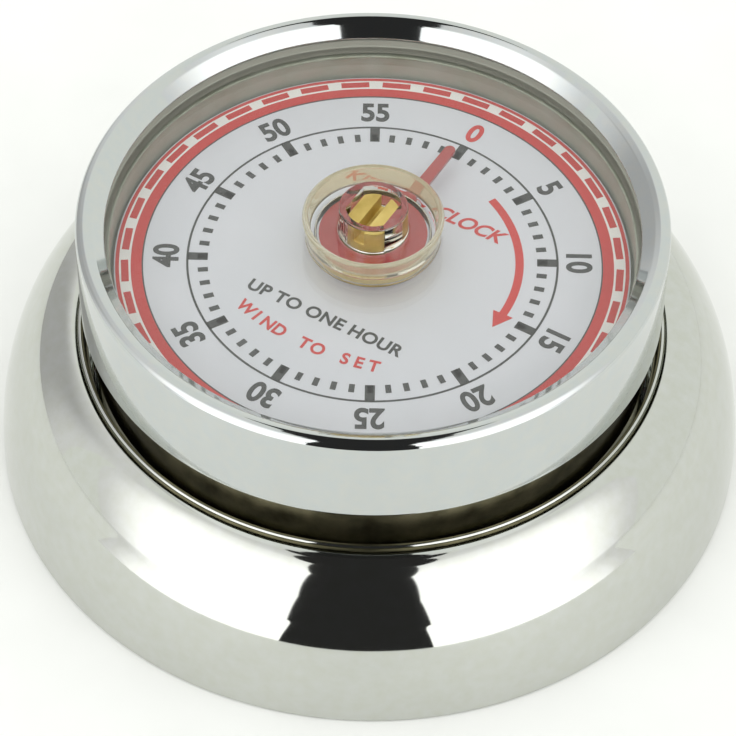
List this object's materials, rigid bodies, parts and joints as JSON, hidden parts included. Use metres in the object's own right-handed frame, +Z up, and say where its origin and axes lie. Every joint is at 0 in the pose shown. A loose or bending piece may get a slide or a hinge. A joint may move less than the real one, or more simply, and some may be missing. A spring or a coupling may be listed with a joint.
{
  "type": "kitchen timer",
  "caption": "Round wind-up kitchen timer with a turning chromed bezel and window over a numbered dial, flared steel base, clockwork train and alarm bell.",
  "frame": {"origin": "centre of the underside, on the surface that the timer stands on", "axes": "+Z up along the winding arbor, +Y from the centre towards the dial's 0 mark"},
  "size_m": [0.0702, 0.0702, 0.0303],
  "materials": {
    "chromed_steel": "polished",
    "bright_steel": "ground",
    "satin_zinc": "satin plated",
    "brass": "turned and stamped",
    "ferrite": "ground ferrite magnet",
    "printed_dial": "printed card",
    "clear_window": "clear moulded acrylic",
    "red_lacquer": "red lacquer"
  },
  "bodies": {
    "case": {"base_shell": "chromed_steel", "neck_collar": "chromed_steel", "bottom_cover": "bright_steel", "magnet_ring": "ferrite", "cover_screw_1": "bright_steel", "cover_screw_2": "bright_steel", "cover_screw_3": "bright_steel", "cover_post_1": "brass", "cover_post_2": "brass", "cover_post_3": "brass", "dial_cup": "satin_zinc", "dial_plate": "printed_dial", "back_plate": "brass", "front_plate": "brass", "pillar_1": "brass", "pillar_2": "brass", "pillar_3": "brass", "pillar_nut_1": "bright_steel", "pillar_nut_2": "bright_steel", "pillar_nut_3": "bright_steel", "hammer_spring": "bright_steel", "bell": "bright_steel", "bell_post": "bright_steel", "bell_screw": "bright_steel", "mainspring": "bright_steel", "mainspring_stud": "bright_steel", "hairspring": "bright_steel", "hairspring_stud": "brass"},
    "bezel": {"bezel_ring": "chromed_steel", "lens_retaining_ring": "bright_steel", "lens": "clear_window", "pointer": "red_lacquer", "winding_arbor": "brass", "great_wheel": "brass", "ratchet_wheel": "bright_steel", "alarm_cam": "brass", "click_rivet": "bright_steel", "click_spring": "bright_steel"},
    "click": {"click": "bright_steel"},
    "second": {"second_wheel": "brass", "second_pinion": "bright_steel"},
    "third": {"third_wheel": "brass", "third_pinion": "bright_steel"},
    "escape": {"escape_wheel": "brass", "escape_pinion": "bright_steel"},
    "anchor": {"anchor": "bright_steel"},
    "balance": {"balance_wheel": "brass", "balance_staff": "bright_steel"},
    "hammer": {"hammer_arbor": "bright_steel", "cam_follower": "bright_steel", "hammer_arm": "bright_steel", "hammer_head": "brass"}
  },
  "joints": [
    {"name": "bezel_turn", "type": "hinge", "parent": "case", "child": "bezel", "pos_m": [0, 0, 0.0228], "axis": [0, 0, -1], "range_deg": [0, 360]},
    {"name": "second_spin", "type": "hinge", "parent": "case", "child": "second", "pos_m": [0.014, 0, 0.0113], "axis": [0, 0, -1], "range_deg": [-2160, 0]},
    {"name": "third_spin", "type": "hinge", "parent": "case", "child": "third", "pos_m": [0.01168, 0.00807, 0.0124], "axis": [0, 0, -1], "range_deg": [0, 10800]},
    {"name": "escape_spin", "type": "hinge", "parent": "case", "child": "escape", "pos_m": [0.00508, 0.01326, 0.0141], "axis": [0, 0, -1], "range_deg": [-54000, 0]},
    {"name": "balance_swing", "type": "hinge", "parent": "case", "child": "balance", "pos_m": [-0.01015, 0.01364, 0.0128], "axis": [0, 0, 1], "range_deg": [-25, 25], "stiffness_Nm_per_rad": 0.000002},
    {"name": "anchor_swing", "type": "hinge", "parent": "case", "child": "anchor", "pos_m": [-0.00137, 0.01413, 0.0155], "axis": [0, 0, 1], "range_deg": [-5, 5]},
    {"name": "hammer_strike", "type": "hinge", "parent": "case", "child": "hammer", "pos_m": [-0.0095, -0.01645, 0.013], "axis": [0, 0, 1], "range_deg": [0, 5]},
    {"name": "click_lift", "type": "hinge", "parent": "bezel", "child": "click", "pos_m": [-0.0016, 0.00906, 0.0169], "axis": [0, 0, 1], "range_deg": [0, 8], "stiffness_Nm_per_rad": 0.0001}
  ],
  "couplings": [
    {"joint": "second_spin", "follows": "bezel_turn", "ratio": -6},
    {"joint": "third_spin", "follows": "bezel_turn", "ratio": 30},
    {"joint": "escape_spin", "follows": "bezel_turn", "ratio": -150},
    {"joint": "anchor_swing", "follows": "balance_swing", "ratio": -0.2}
  ]
}
